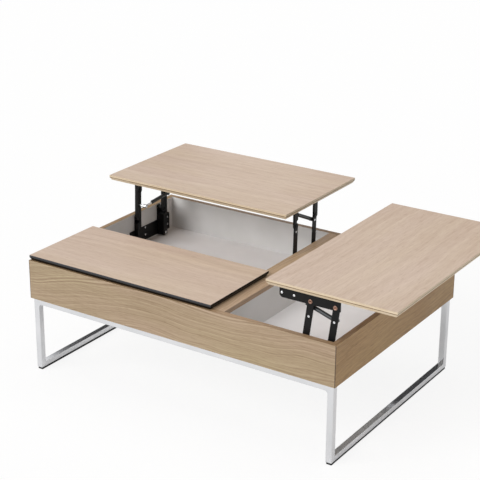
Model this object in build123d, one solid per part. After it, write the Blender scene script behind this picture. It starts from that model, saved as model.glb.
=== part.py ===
"""Coffee table with one fixed top and two tops that lift on parallel arms.

Sizes are in millimetres. +X runs to the right along the front, +Y to the back and +Z up.
Pieces are placed from the middle of the box, on the floor, with both tops raised, and are
then moved together so that the whole raised table is centred on the origin.
"""
import os
from dataclasses import dataclass
from math import asin, cos, degrees, dist, pi, radians, sin, sqrt

from build123d import *

# Box
BOX_LENGTH = 1170.0
BOX_DEPTH = 800.0
BOX_HEIGHT = 136.0
BOX_LIFT = 264.0
WALL = 19.0
BOTTOM = 16.0
RIM = BOX_LIFT + BOX_HEIGHT
FLOOR = BOX_LIFT + BOTTOM
INNER_X = BOX_LENGTH / 2 - WALL
INNER_Y = BOX_DEPTH / 2 - WALL

# Divider between the bays, a hollow pair of boards under a cap
DIVIDER_X = 149.0
DIVIDER_WIDTH = 72.0
DIVIDER_BOARD = 16.0
CAP = 16.0
DIVIDER_LEFT = DIVIDER_X - DIVIDER_WIDTH / 2
DIVIDER_RIGHT = DIVIDER_X + DIVIDER_WIDTH / 2

# Tops
TOP = 18.0
TOP_LIP = 8.0
TOP_UNDERCUT = 6.0
TOP_INSET = 2.0
TOP_GAP = 6.0
SPLIT_Y = -64.0
CLOSED_GAP = 0.5
CLEAT = 22.0
CLEAT_END_GAP = 20.0

# Chrome base
BAR = 20.0
BASE_INSET = 8.0
BEND = 12.0
RUNNER = 16.0
FOOT = 8.0
FOOT_WIDTH = 18.0
FOOT_END_INSET = 3.0
FRAME_BOLTS = 3
FRAME_BOLT_PITCH = 420.0
FRAME_BOLT_R = 6.0
FRAME_BOLT_HEAD = 3.0

# Lift layers, measured from a wall's inner face
PLATE = 3.0
BRACKET = 2.6
WEB_GAP = 0.4
ARM_GAP = 0.6
FLAT_ARM = 3.8
BOX_ARM = 12.0
STRUT_GAP = 9.0
SIDE_GAP = 0.3
FIT = 0.06

# Lift pieces
ARM_WIDTH = 22.0
PIN_R = 4.0
HEAD_R = 7.0
HEAD = 1.6
EAR_R = ARM_WIDTH / 2
DOT_R = 3.7
DOT_PROUD = 0.4
RIVET_R = 4.0
RIVET_PROUD = 1.0
PLATE_CLEAR = 4.0
PLATE_HEIGHT = 54.0
SCREW_R = 2.1
SCREW_HEAD_R = 4.2
SCREW_HEAD = 1.8
SCREW_LOW = 20.0
SCREW_HIGH = 48.0
STOP_STUD_R = 5.5
STOP_STUD = 2.0
STOP_STUD_UP = 9.0
FLANGE = 22.0
FLANGE_SCREW_END = 28.0
FLANGE_SCREWS = 3
BRACKET_BELOW = 9.0
BRACKET_CUT = 7.0
STRIP = 20.0
POST_GAP = 1.0

# Assist strut and damper strut
STUD_R = 3.0
STUD_HEAD_R = 4.5
STUD_HEAD = 1.5
EYE_R = 7.0
SLEEVE_R = 6.5
EYE = 2 * (SLEEVE_R + SIDE_GAP)
ROD_R = 2.2
ROD_BEND = 5.0
SLEEVE = 106.0
SLEEVE_BORE = 98.0
ROD_INSIDE = 92.0
DAMPER_LEAD = 0.31
DAMPER_ROD_INSIDE = 20.0
DAMPER_BORE = 37.0

# Buffer spring on each base plate
SPRING_R = 4.0
WIRE_R = 0.8
SPRING_TURNS = 7.5
SPRING_PITCH = 3.4
SPRING_AT = 9.5
POINTS_PER_TURN = 24


@dataclass(frozen=True)
class Lift:
    """Two like units on facing walls that carry one top on parallel arms.

    Places along the lift are measured the way the top moves out, from the middle of the box.
    """
    arm: float           # between the two pivots of an arm
    lean: float          # degrees that a raised arm leans out past upright
    wall: float          # inner face of the wall that the top moves out over
    plate_gap: float     # base plate's outer end to that wall
    base_below: float    # inner base pivot below the rim
    drop: float          # inner top pivot below the underside of the top
    spacing: float       # inner to outer pivot
    straddle: bool       # inner arms behind the bracket's web, which then hangs on two legs
    bracket_in: float    # bracket's inner end from the inner top pivot
    bracket_out: float   # bracket's outer end from the outer top pivot
    hook_in: float       # assist rod's hook from the inner top pivot, inwards
    hook_up: float       # and above it
    second_rivet: float  # bracket's second rivet from the inner top pivot
    dot_below: float     # arm's bright rivet below its top pivot
    damper_heel: float   # damper's eye below the inner top pivot
    damper_head: float   # and its other end below the outer top pivot
    plate_in: float      # base plate's inner end from the inner base pivot
    plate_out: float     # and its outer end
    plate_end: float     # height of the base plate at its outer end
    plate_neck: float    # height of the base plate beside the outer ear
    screw_in: float      # base plate's inner screws from the inner base pivot
    screw_out: float     # and its outer screws
    spring: float        # buffer spring from the inner base pivot
    spring_up: float     # its lower end above the foot of the base plate

    @property
    def inner_base(self) -> float:
        """Place of the inner arm's base pivot."""
        return self.wall - self.plate_gap - self.plate_out

    @property
    def closed_height(self) -> float:
        """Top pivot above base pivot with the top closed."""
        return self.base_below + CLOSED_GAP - self.drop

    @property
    def shift(self) -> float:
        """How far the top moves out between closed and raised."""
        return sqrt(self.arm ** 2 - self.closed_height ** 2) + self.arm * sin(radians(self.lean))

    @property
    def rise(self) -> float:
        """How far the top moves up between closed and raised."""
        return self.arm * cos(radians(self.lean)) - self.closed_height

    @property
    def swing(self) -> float:
        """Degrees that the arms turn between raised and closed."""
        return 90 + self.lean - degrees(asin(self.closed_height / self.arm))

    @property
    def underside(self) -> float:
        """Height of the raised top's underside."""
        return RIM + CLOSED_GAP + self.rise

    def base(self, outer: bool) -> tuple[float, float]:
        """Base pivot of the inner or outer arm, as (out, up)."""
        return self.inner_base + (self.spacing if outer else 0.0), RIM - self.base_below

    def on_arm(self, outer: bool, below: float) -> tuple[float, float]:
        """Point on the inner or outer arm, `below` its top pivot along the arm."""
        out, up = self.base(outer)
        reach = self.arm - below
        return out + reach * sin(radians(self.lean)), up + reach * cos(radians(self.lean))

    def pivot(self, outer: bool) -> tuple[float, float]:
        """Top pivot of the inner or outer arm."""
        return self.on_arm(outer, 0.0)

    def folded_slot(self, pivot: tuple[float, float], turned: float):
        """Room that an arm needs at a pivot when the top is closed, turned half round for a top pivot."""
        slot = Pos(self.arm / 2, 0) * SlotCenterToCenter(self.arm, ARM_WIDTH + 2 * POST_GAP)
        return Pos(*pivot) * Rot(0, 0, 90 - self.lean + self.swing + turned) * slot

    def hook(self) -> tuple[float, float]:
        """Where the assist rod hooks on to the bracket."""
        out, up = self.pivot(False)
        return out - self.hook_in, up + self.hook_up


REAR_LIFT = Lift(
    arm=106.0, lean=2.0, wall=INNER_Y, plate_gap=24.0, base_below=13.5, drop=68.0, spacing=136.0,
    straddle=True, bracket_in=40.0, bracket_out=11.0, hook_in=32.0, hook_up=58.0, second_rivet=-16.0,
    dot_below=20.0, damper_heel=56.0, damper_head=46.0, plate_in=40.0, plate_out=199.0,
    plate_end=62.0, plate_neck=86.0, screw_in=50.0, screw_out=186.0, spring=169.0, spring_up=48.0)
RIGHT_LIFT = Lift(
    arm=172.0, lean=7.5, wall=INNER_X, plate_gap=12.5, base_below=65.0, drop=28.0, spacing=83.0,
    straddle=False, bracket_in=105.0, bracket_out=17.0, hook_in=97.0, hook_up=6.0, second_rivet=-55.0,
    dot_below=50.0, damper_heel=77.0, damper_head=68.0, plate_in=45.0, plate_out=93.0,
    plate_end=54.0, plate_neck=54.0, screw_in=-38.0, screw_out=41.0, spring=-20.0, spring_up=13.0)

# The raised tops stand out past the box on two sides only
CENTRE_X = (RIGHT_LIFT.shift - TOP_INSET) / 2
CENTRE_Y = (REAR_LIFT.shift - TOP_INSET) / 2
TO_CENTRE = Pos(-CENTRE_X, -CENTRE_Y, 0)


@dataclass(frozen=True)
class Unit:
    """One side of a lift: a wall's inner face, seen with the way out to the right."""
    lift: Lift
    wall: Plane
    inward: int   # 1 where the wall plane's normal points into the bay, otherwise -1
    depth: float  # depth of an arm's section, away from the wall

    @property
    def web(self) -> float:
        """Distance from the wall to the bracket's web."""
        return self.arm_end(False) + ARM_GAP if self.lift.straddle else PLATE + WEB_GAP

    @property
    def strut(self) -> float:
        """Distance from the wall to the strut's middle line."""
        return self.arm_end(True) + STRUT_GAP

    def arm_at(self, outer: bool) -> float:
        """Distance from the wall to the near face of the inner or outer arm."""
        if self.lift.straddle and not outer:
            return PLATE + ARM_GAP
        if outer and not self.lift.straddle:
            return self.arm_end(False) + ARM_GAP
        return self.web + BRACKET + ARM_GAP

    def arm_end(self, outer: bool) -> float:
        """Distance from the wall to the far face of the inner or outer arm."""
        return self.arm_at(outer) + self.depth

    def slab(self, sketch, start: float, end: float):
        """Sketch on the wall, thickened between two distances from the wall."""
        at = self.wall.offset(self.inward * start)
        return extrude(at * sketch, amount=self.inward * (end - start))

    def disc(self, place: tuple[float, float], radius: float, start: float, end: float):
        """Round pin across the layers at (out, up)."""
        return self.slab(Pos(*place) * Circle(radius), start, end)

    def point(self, place: tuple[float, float], depth: float) -> Vector:
        """Place (out, up) at a distance from the wall, as a point of the table."""
        return self.wall.from_local_coords(Vector(*place, self.inward * depth))

    def tube(self, start: tuple[float, float], end: tuple[float, float], radius: float):
        """Round bar in the strut's layer between two places."""
        first = self.point(start, self.strut)
        run = self.point(end, self.strut) - first
        return extrude(Plane(origin=first, z_dir=run) * Circle(radius), amount=run.length)


BACKWARD = {"x_dir": (0, 1, 0), "z_dir": (1, 0, 0)}
RIGHTWARD = {"x_dir": (1, 0, 0), "z_dir": (0, -1, 0)}
REAR_LEFT = Unit(REAR_LIFT, Plane(origin=(-INNER_X, 0, 0), **BACKWARD), 1, BOX_ARM)
REAR_RIGHT = Unit(REAR_LIFT, Plane(origin=(DIVIDER_LEFT, 0, 0), **BACKWARD), -1, FLAT_ARM)
RIGHT_FRONT = Unit(RIGHT_LIFT, Plane(origin=(0, -INNER_Y, 0), **RIGHTWARD), -1, FLAT_ARM)
RIGHT_BACK = Unit(RIGHT_LIFT, Plane(origin=(0, INNER_Y, 0), **RIGHTWARD), 1, BOX_ARM)
UNITS = {"rear_left": REAR_LEFT, "rear_right": REAR_RIGHT,
         "right_front": RIGHT_FRONT, "right_back": RIGHT_BACK}
LIFTS = {"rear": (REAR_LEFT, REAR_RIGHT), "right": (RIGHT_FRONT, RIGHT_BACK)}
ASSIST = {"rear": REAR_RIGHT, "right": RIGHT_FRONT}
DAMPER = {"rear": REAR_LEFT, "right": RIGHT_BACK}


def block(low_x, high_x, low_y, high_y, low_z, high_z):
    """Box between the given limits."""
    middle = ((low_x + high_x) / 2, (low_y + high_y) / 2, (low_z + high_z) / 2)
    return Pos(*middle) * Box(high_x - low_x, high_y - low_y, high_z - low_z)


def upright(x, y, bottom, top, radius):
    """Upright round bar."""
    return Pos(x, y, (bottom + top) / 2) * Cylinder(radius, top - bottom)


def along(start, end, distance):
    """Place at a distance from start on the line to end."""
    share = distance / dist(start, end)
    return start[0] + share * (end[0] - start[0]), start[1] + share * (end[1] - start[1])


def wall_board(length, reach):
    """Box wall along X with mitred ends, its outer face `reach` in front of the middle."""
    half = length / 2
    outline = Polyline((-half, -reach), (half, -reach),
                       (half - WALL, WALL - reach), (WALL - half, WALL - reach), close=True)
    return Pos(0, 0, BOX_LIFT) * extrude(make_face(outline), amount=BOX_HEIGHT)


def box_walls():
    """The four mitred walls by name."""
    long_wall = wall_board(BOX_LENGTH, BOX_DEPTH / 2)
    short_wall = wall_board(BOX_DEPTH, BOX_LENGTH / 2)
    return {"front_panel": long_wall, "back_panel": Rot(0, 0, 180) * long_wall,
            "right_panel": Rot(0, 0, 90) * short_wall, "left_panel": Rot(0, 0, -90) * short_wall}


def divider_board(left):
    """One board of the divider, from its left face."""
    return block(left, left + DIVIDER_BOARD, -INNER_Y, INNER_Y, FLOOR, RIM - CAP)


def edge_outline(width):
    """Section of a top: an upright lip over an undercut, with the underside at zero."""
    half = width / 2
    under = half - TOP_UNDERCUT
    lip = TOP - TOP_LIP
    return make_face(Polyline((-under, 0), (under, 0), (half, lip), (half, TOP),
                              (-half, TOP), (-half, lip), close=True))


def top_panel(low_x, high_x, low_y, high_y, underside):
    """Board with the same undercut edge all round."""
    width = high_x - low_x
    depth = high_y - low_y
    across = Plane(origin=((low_x + high_x) / 2, high_y, underside), **RIGHTWARD)
    deep = Plane(origin=(low_x, (low_y + high_y) / 2, underside), **BACKWARD)
    return extrude(across * edge_outline(width), amount=depth) & extrude(
        deep * edge_outline(depth), amount=width)


def tops():
    """The fixed front top and the two raised tops."""
    left = TOP_INSET - BOX_LENGTH / 2
    split_left = DIVIDER_X - TOP_GAP / 2
    split_right = DIVIDER_X + TOP_GAP / 2
    right = -left
    back = BOX_DEPTH / 2 - TOP_INSET
    split_front = SPLIT_Y - TOP_GAP / 2
    split_back = SPLIT_Y + TOP_GAP / 2
    out_y = REAR_LIFT.shift
    out_x = RIGHT_LIFT.shift
    return {
        "front_top": top_panel(left, split_left, -back, split_front, RIM),
        "rear_top": top_panel(left, split_left, split_back + out_y, back + out_y,
                              REAR_LIFT.underside),
        "right_top": top_panel(split_right + out_x, right + out_x, -back, back,
                               RIGHT_LIFT.underside)}


def top_cleats():
    """Battens that hold the fixed top to the walls and the divider."""
    front = -INNER_Y
    back = SPLIT_Y - CLEAT_END_GAP
    low = RIM - CLEAT
    left_end = -INNER_X + CLEAT + CLEAT_END_GAP
    right_end = DIVIDER_LEFT - CLEAT - CLEAT_END_GAP
    side_front = front + CLEAT + CLEAT_END_GAP
    return [block(-INNER_X, CLEAT - INNER_X, side_front, back, low, RIM),
            block(DIVIDER_LEFT - CLEAT, DIVIDER_LEFT, side_front, back, low, RIM),
            block(left_end, right_end, front, front + CLEAT, low, RIM)]


def leg_frame(rear_face):
    """Two legs and the rail under the box, bent from one square bar."""
    width = BOX_LENGTH - 2 * BASE_INSET
    height = BOX_LIFT - FOOT
    outer = Pos(0, FOOT + height / 2) * Rectangle(width, height)
    inner = Pos(0, FOOT + (height - BAR) / 2) * Rectangle(width - 2 * BAR, height - BAR)
    inner = fillet(inner.vertices().group_by(Axis.Y)[-1], BEND)
    return extrude(Plane(origin=(0, rear_face, 0), **RIGHTWARD) * (outer - inner), amount=BAR)


def runner(side):
    """Floor bar between a front and a rear leg."""
    x = side * (BOX_LENGTH / 2 - BASE_INSET - BAR / 2)
    half = BOX_DEPTH / 2 - BASE_INSET - BAR
    return block(x - BAR / 2, x + BAR / 2, -half, half, FOOT, FOOT + RUNNER)


def foot_strip(side):
    """Rubber strip under one end of the base."""
    x = side * (BOX_LENGTH / 2 - BASE_INSET - BAR / 2)
    half = BOX_DEPTH / 2 - BASE_INSET - FOOT_END_INSET
    return block(x - FOOT_WIDTH / 2, x + FOOT_WIDTH / 2, -half, half, 0, FOOT)


def frame_bolts():
    """Bolt heads under both rails."""
    top = BOX_LIFT - BAR
    y = BOX_DEPTH / 2 - BASE_INSET - BAR / 2
    places = [(i - (FRAME_BOLTS - 1) / 2) * FRAME_BOLT_PITCH for i in range(FRAME_BOLTS)]
    return [upright(x, side * y, top - FRAME_BOLT_HEAD, top, FRAME_BOLT_R)
            for x in places for side in (-1, 1)]


def screw_places(lift):
    """Base plate screws as (out, up)."""
    return [(lift.inner_base + out, FLOOR + PLATE_CLEAR + up)
            for out in (lift.screw_in, lift.screw_out) for up in (SCREW_LOW, SCREW_HIGH)]


def base_plate(unit):
    """Wall plate with an ear at each base pivot."""
    lift = unit.lift
    bottom = FLOOR + PLATE_CLEAR
    length = lift.plate_in + lift.plate_out
    middle = lift.inner_base + (lift.plate_out - lift.plate_in) / 2
    outline = Pos(middle, bottom + PLATE_HEIGHT / 2) * Rectangle(length, PLATE_HEIGHT)
    neck = lift.base(True)[0]
    end = lift.inner_base + lift.plate_out
    outline += make_face(Polyline((neck, bottom), (end, bottom), (end, bottom + lift.plate_end),
                                  (neck + EAR_R, bottom + lift.plate_neck),
                                  (neck, bottom + lift.plate_neck), close=True))
    for outer in (False, True):
        out, up = lift.base(outer)
        outline += Pos(out, (bottom + up) / 2) * Rectangle(2 * EAR_R, up - bottom)
        outline += Pos(out, up) * Circle(EAR_R)
    for outer in (False, True):
        outline -= Pos(*lift.base(outer)) * Circle(PIN_R + FIT)
    for place in screw_places(lift):
        outline -= Pos(*place) * Circle(SCREW_R + FIT)
    plate = unit.slab(outline, 0, PLATE)
    return plate + base_posts(unit) if lift.straddle else plate


def post(lift, pivot, end, turned):
    """Outline of a post in line with a raised arm, from its pivot to an end, clear of the folded arm."""
    out, up = pivot
    return Pos(out, (up + end) / 2) * Rectangle(ARM_WIDTH, abs(end - up)) - lift.folded_slot(pivot, turned)


def base_posts(unit):
    """Posts on the base plate under both arms, flush with them."""
    bottom = FLOOR + PLATE_CLEAR
    return [unit.slab(post(unit.lift, unit.lift.base(outer), bottom, 0), PLATE, unit.arm_end(outer))
            for outer in (False, True)]


def bracket_posts(unit):
    """Posts on the bracket's legs over both arms, in line with them."""
    top = unit.lift.underside
    inner = post(unit.lift, unit.lift.pivot(False), top, 180)
    outer = post(unit.lift, unit.lift.pivot(True), top, 180)
    return [unit.slab(inner, unit.arm_at(False), unit.web),
            unit.slab(outer, unit.web + BRACKET, unit.arm_end(True))]


def base_screws(unit):
    """Screws that hold a base plate to its wall."""
    return [unit.disc(place, SCREW_R, 0, PLATE)
            + unit.disc(place, SCREW_HEAD_R, PLATE, PLATE + SCREW_HEAD)
            for place in screw_places(unit.lift)]


def base_pin(unit, outer):
    """Pin with a shoulder that carries the foot of an arm, flush where the outer arm folds past."""
    place = unit.lift.base(outer)
    end = unit.arm_end(outer) + SIDE_GAP
    pin = unit.disc(place, PIN_R, 0, end)
    pin += unit.disc(place, HEAD_R, PLATE, unit.arm_at(outer) - SIDE_GAP)
    return pin + unit.disc(place, HEAD_R, end, end + HEAD) if outer else pin


def stop_stud(unit):
    """Large bright stud low on the base plate, or on its outer post."""
    lift = unit.lift
    place = (lift.base(True)[0], FLOOR + PLATE_CLEAR + STOP_STUD_UP)
    face = unit.arm_end(True) if lift.straddle else PLATE
    return unit.disc(place, STOP_STUD_R, face, face + STOP_STUD)


def lift_arm(unit, outer):
    """Flat bar with round ends and a hole for each pivot."""
    lift = unit.lift
    middle = lift.on_arm(outer, lift.arm / 2)
    outline = Pos(*middle) * Rot(0, 0, 90 - lift.lean) * SlotCenterToCenter(lift.arm, ARM_WIDTH)
    for place in (lift.base(outer), lift.pivot(outer)):
        outline -= Pos(*place) * Circle(PIN_R + FIT)
    return unit.slab(outline, unit.arm_at(outer), unit.arm_end(outer))


def arm_dot(unit, outer):
    """Thin bright rivet head on the wall side of an arm."""
    place = unit.lift.on_arm(outer, unit.lift.dot_below)
    return unit.disc(place, DOT_R, unit.arm_at(outer) - DOT_PROUD, unit.arm_at(outer))


def strut_stud(unit, outer):
    """Stud on an arm that the strut's eye turns on."""
    lift = unit.lift
    place = lift.on_arm(outer, lift.dot_below if outer else lift.damper_heel)
    end = unit.strut + EYE / 2 + SIDE_GAP
    return unit.disc(place, STUD_R, unit.arm_end(outer), end) + unit.disc(
        place, STUD_HEAD_R, end, end + STUD_HEAD)


def arm_rivets(lift_name, outer):
    """Rivets of both inner or both outer arms of a lift, with the strut's stud."""
    unit = (ASSIST if outer else DAMPER)[lift_name]
    return [arm_dot(each, outer) for each in LIFTS[lift_name]] + [strut_stud(unit, outer)]


def flange_screw_outs(lift):
    """Places along the bracket of the screws into the top."""
    first = lift.pivot(False)[0] - lift.bracket_in + FLANGE_SCREW_END
    last = lift.pivot(True)[0] + lift.bracket_out - FLANGE_SCREW_END
    return [first + i * (last - first) / (FLANGE_SCREWS - 1) for i in range(FLANGE_SCREWS)]


def bracket_web(lift, start, end):
    """Outline of a bracket's web: one deep plate, or a strip with a leg at each pivot."""
    top = lift.underside
    low = top - (STRIP if lift.straddle else lift.drop + BRACKET_BELOW)
    web = make_face(Polyline((start, top), (start, low + BRACKET_CUT), (start + BRACKET_CUT, low),
                             (end, low), (end, top), close=True))
    for is_outer in (False, True):
        out, up = lift.pivot(is_outer)
        if lift.straddle:
            web += Pos(out, (up + top) / 2) * Rectangle(ARM_WIDTH, top - up)
            web += Pos(out, up) * Circle(ARM_WIDTH / 2)
        web -= Pos(out, up) * Circle(PIN_R + FIT)
    return web


def bracket(unit):
    """Angle under the top: a web that the arms turn on and a flange screwed to the top."""
    lift = unit.lift
    top = lift.underside
    start = lift.pivot(False)[0] - lift.bracket_in
    end = lift.pivot(True)[0] + lift.bracket_out
    flange = Pos((start + end) / 2, top - BRACKET / 2) * Rectangle(end - start, BRACKET)
    angle = unit.slab(bracket_web(lift, start, end), unit.web, unit.web + BRACKET)
    angle += unit.slab(flange, unit.web, unit.web + FLANGE)
    if lift.straddle:
        angle += bracket_posts(unit)
    for out in flange_screw_outs(lift):
        at = unit.point((out, top), unit.web + FLANGE / 2)
        angle -= upright(at.X, at.Y, top - BRACKET, top, SCREW_R + FIT)
    return angle


def flange_screws(unit):
    """Screws up through a bracket's flange."""
    top = unit.lift.underside
    low = top - BRACKET
    screws = []
    for out in flange_screw_outs(unit.lift):
        at = unit.point((out, top), unit.web + FLANGE / 2)
        screws.append(upright(at.X, at.Y, low, top, SCREW_R)
                      + upright(at.X, at.Y, low - SCREW_HEAD, low, SCREW_HEAD_R))
    return screws


def pivot_rivet(unit, outer):
    """Rivet through a bracket and the head of an arm."""
    place = unit.lift.pivot(outer)
    start = unit.web
    end = unit.arm_end(outer) + SIDE_GAP
    if unit.lift.straddle and not outer:
        start = unit.arm_at(outer) - SIDE_GAP
        end = unit.web + BRACKET
    rivet = unit.disc(place, PIN_R, start, end) + unit.disc(place, HEAD_R, end, end + HEAD)
    return rivet + unit.disc(place, HEAD_R, start - HEAD, start)


def bracket_rivets(unit):
    """Bright rivet heads on the wall side of a bracket."""
    lift = unit.lift
    out, up = lift.pivot(False)
    places = (lift.hook(), (out + lift.second_rivet, up + lift.hook_up))
    return [unit.disc(place, RIVET_R, unit.web - RIVET_PROUD, unit.web) for place in places]


def assist_ends(lift):
    """Assist strut from its stud on the outer arm to its hook on the bracket."""
    return lift.on_arm(True, lift.dot_below), lift.hook()


def assist_sleeve(unit):
    """Sleeve of the assist strut, with the eye that turns on the outer arm."""
    foot, hook = assist_ends(unit.lift)
    mouth = along(foot, hook, SLEEVE)
    body = unit.tube(foot, mouth, SLEEVE_R)
    body += unit.disc(foot, EYE_R, unit.strut - EYE / 2, unit.strut + EYE / 2)
    body -= unit.tube(along(foot, hook, SLEEVE - SLEEVE_BORE), mouth, ROD_R + FIT)
    return body - unit.disc(foot, STUD_R + FIT, unit.strut - EYE, unit.strut + EYE)


def assist_rod(unit):
    """Rod that slides in the sleeve and is bent into a hook against the bracket."""
    foot, hook = assist_ends(unit.lift)
    start = unit.point(along(foot, hook, SLEEVE - ROD_INSIDE), unit.strut)
    before = unit.point(along(hook, foot, ROD_BEND), unit.strut)
    after = unit.point(hook, unit.strut - ROD_BEND)
    tip = unit.point(hook, unit.web + BRACKET + SIDE_GAP)
    line = Wire([Edge.make_line(start, before), Edge.make_tangent_arc(before, before - start, after),
                 Edge.make_line(after, tip)])
    return sweep(Plane(origin=start, z_dir=before - start) * Circle(ROD_R), path=line)


def damper_ends(lift):
    """Damper strut from its stud on the inner arm to its end on the outer arm."""
    return lift.on_arm(False, lift.damper_heel), lift.on_arm(True, lift.damper_head)


def damper_rod(unit):
    """Rod with an eye on the inner arm."""
    heel, head = damper_ends(unit.lift)
    inside = DAMPER_LEAD * dist(heel, head) + DAMPER_ROD_INSIDE
    rod = unit.tube(heel, along(heel, head, inside), ROD_R)
    rod += unit.disc(heel, EYE_R, unit.strut - EYE / 2, unit.strut + EYE / 2)
    return rod - unit.disc(heel, STUD_R + FIT, unit.strut - EYE, unit.strut + EYE)


def damper_sleeve(unit):
    """Sleeve that slides on the rod, with a pin that ends at the outer arm."""
    heel, head = damper_ends(unit.lift)
    lead = DAMPER_LEAD * dist(heel, head)
    mouth = along(heel, head, lead)
    body = unit.tube(mouth, head, SLEEVE_R)
    body += unit.disc(head, SLEEVE_R, unit.strut - EYE / 2, unit.strut + EYE / 2)
    body += unit.disc(head, STUD_R, unit.arm_end(True) + SIDE_GAP, unit.strut)
    return body - unit.tube(mouth, along(heel, head, lead + DAMPER_BORE), ROD_R + FIT)


def spring_point(unit, turn):
    """Point of the buffer spring's line after a number of turns."""
    angle = 2 * pi * turn
    out = unit.lift.inner_base + unit.lift.spring + SPRING_R * cos(angle)
    up = FLOOR + PLATE_CLEAR + unit.lift.spring_up + SPRING_PITCH * turn
    return unit.point((out, up), SPRING_AT + SPRING_R * sin(angle))


def spring_heading(unit, turn):
    """Direction of the spring's line, level where it leaves for the plate."""
    angle = 2 * pi * turn
    climb = SPRING_PITCH / (2 * pi) if 0 < turn < SPRING_TURNS else 0.0
    ahead = Vector(-SPRING_R * sin(angle), climb, unit.inward * SPRING_R * cos(angle))
    origin = unit.wall.from_local_coords(Vector(0, 0, 0))
    return (unit.wall.from_local_coords(ahead) - origin).normalized()


def biarc(start, start_heading, end, end_heading):
    """Two arcs between points, in line with both headings."""
    chord = end - start
    total = start_heading + end_heading
    bend = 2 * (1 - start_heading.dot(end_heading))
    lean = chord.dot(total)
    arm = (sqrt(lean ** 2 + bend * chord.dot(chord)) - lean) / bend
    first = start + start_heading * arm
    last = end - end_heading * arm
    joint = (first + last) * 0.5
    return [Edge.make_tangent_arc(start, start_heading, joint),
            Edge.make_tangent_arc(joint, (last - first).normalized(), end)]


def buffer_spring(unit):
    """Coil beside the arms, with both ends run straight into the base plate."""
    turns = [i / 2 for i in range(int(2 * SPRING_TURNS) + 1)]
    points = [spring_point(unit, turn) for turn in turns]
    headings = [spring_heading(unit, turn) for turn in turns]
    into_plate = SPRING_AT - PLATE
    root = points[0] - headings[0] * into_plate
    edges = [Edge.make_line(root, points[0])]
    for i in range(len(turns) - 1):
        edges += biarc(points[i], headings[i], points[i + 1], headings[i + 1])
    edges.append(Edge.make_line(points[-1], points[-1] + headings[-1] * into_plate))
    return sweep(Plane(origin=root, z_dir=headings[0]) * Circle(WIRE_R), path=Wire(edges))


def spring_gap(unit):
    """Least gap between neighbouring turns, measured on points of the line."""
    count = int(SPRING_TURNS * POINTS_PER_TURN)
    points = [spring_point(unit, i / POINTS_PER_TURN) for i in range(count + 1)]
    apart = POINTS_PER_TURN // 2
    return min((points[i] - points[j]).length for i in range(count + 1)
               for j in range(i + apart, count + 1)) - 2 * WIRE_R


def save(name, *solids):
    """Move one node to the shared frame and write it."""
    placed = [TO_CENTRE * solid for solid in solids]
    shape = placed[0] if len(placed) == 1 else Compound(children=placed)
    export_step(shape, f"parts/{name}.step")


def save_box():
    """Box, divider, tops and chrome base."""
    for name, solid in {**box_walls(), **tops()}.items():
        save(name, solid)
    save("bottom_panel", block(-INNER_X, INNER_X, -INNER_Y, INNER_Y, BOX_LIFT, FLOOR))
    save("divider_left_board", divider_board(DIVIDER_LEFT))
    save("divider_right_board", divider_board(DIVIDER_RIGHT - DIVIDER_BOARD))
    save("divider_cap", block(DIVIDER_LEFT, DIVIDER_RIGHT, -INNER_Y, INNER_Y, RIM - CAP, RIM))
    save("front_top_cleats", *top_cleats())
    save("front_leg_frame", leg_frame(BAR + BASE_INSET - BOX_DEPTH / 2))
    save("rear_leg_frame", leg_frame(BOX_DEPTH / 2 - BASE_INSET))
    for name, side in {"left": -1, "right": 1}.items():
        save(f"{name}_runner", runner(side))
        save(f"{name}_foot_strip", foot_strip(side))
    save("frame_bolts", *frame_bolts())


def save_bases():
    """Pieces of the lifts that stay on the walls."""
    for name, unit in UNITS.items():
        save(f"{name}_base_plate", base_plate(unit))
        save(f"{name}_bracket", bracket(unit))
        save(f"{name}_buffer_spring", buffer_spring(unit))
    units = UNITS.values()
    save("base_pins", *[base_pin(unit, outer) for unit in units for outer in (False, True)])
    save("base_screws", *[screw for unit in units for screw in base_screws(unit)])
    save("stop_studs", *[stop_stud(unit) for unit in units])
    print("least gap between spring turns, mm:", round(min(map(spring_gap, units)), 2))


def save_lift(name):
    """Moving pieces of one lift."""
    units = LIFTS[name]
    for arm_name, outer in {"inner": False, "outer": True}.items():
        save(f"{name}_{arm_name}_arms", *[lift_arm(unit, outer) for unit in units])
        save(f"{name}_{arm_name}_arm_rivets", *arm_rivets(name, outer))
    save(f"{name}_top_pivots", *[pivot_rivet(unit, outer) for unit in units for outer in (False, True)])
    save(f"{name}_bracket_rivets", *[rivet for unit in units for rivet in bracket_rivets(unit)])
    save(f"{name}_bracket_screws", *[screw for unit in units for screw in flange_screws(unit)])
    save(f"{name}_assist_sleeve", assist_sleeve(ASSIST[name]))
    save(f"{name}_assist_rod", assist_rod(ASSIST[name]))
    save(f"{name}_damper_rod", damper_rod(DAMPER[name]))
    save(f"{name}_damper_sleeve", damper_sleeve(DAMPER[name]))


os.makedirs("parts", exist_ok=True)
save_box()
save_bases()
for lift_name in LIFTS:
    save_lift(lift_name)
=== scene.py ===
"""Looks of the lift top coffee table: oak veneer box and tops, chrome base, black steel lifts."""
import logging
import math
from dataclasses import dataclass, field, replace
from enum import Enum
from typing import Any, Callable, ClassVar, Optional, Union

import bmesh
import bpy
from mathutils import Matrix, Vector


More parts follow.
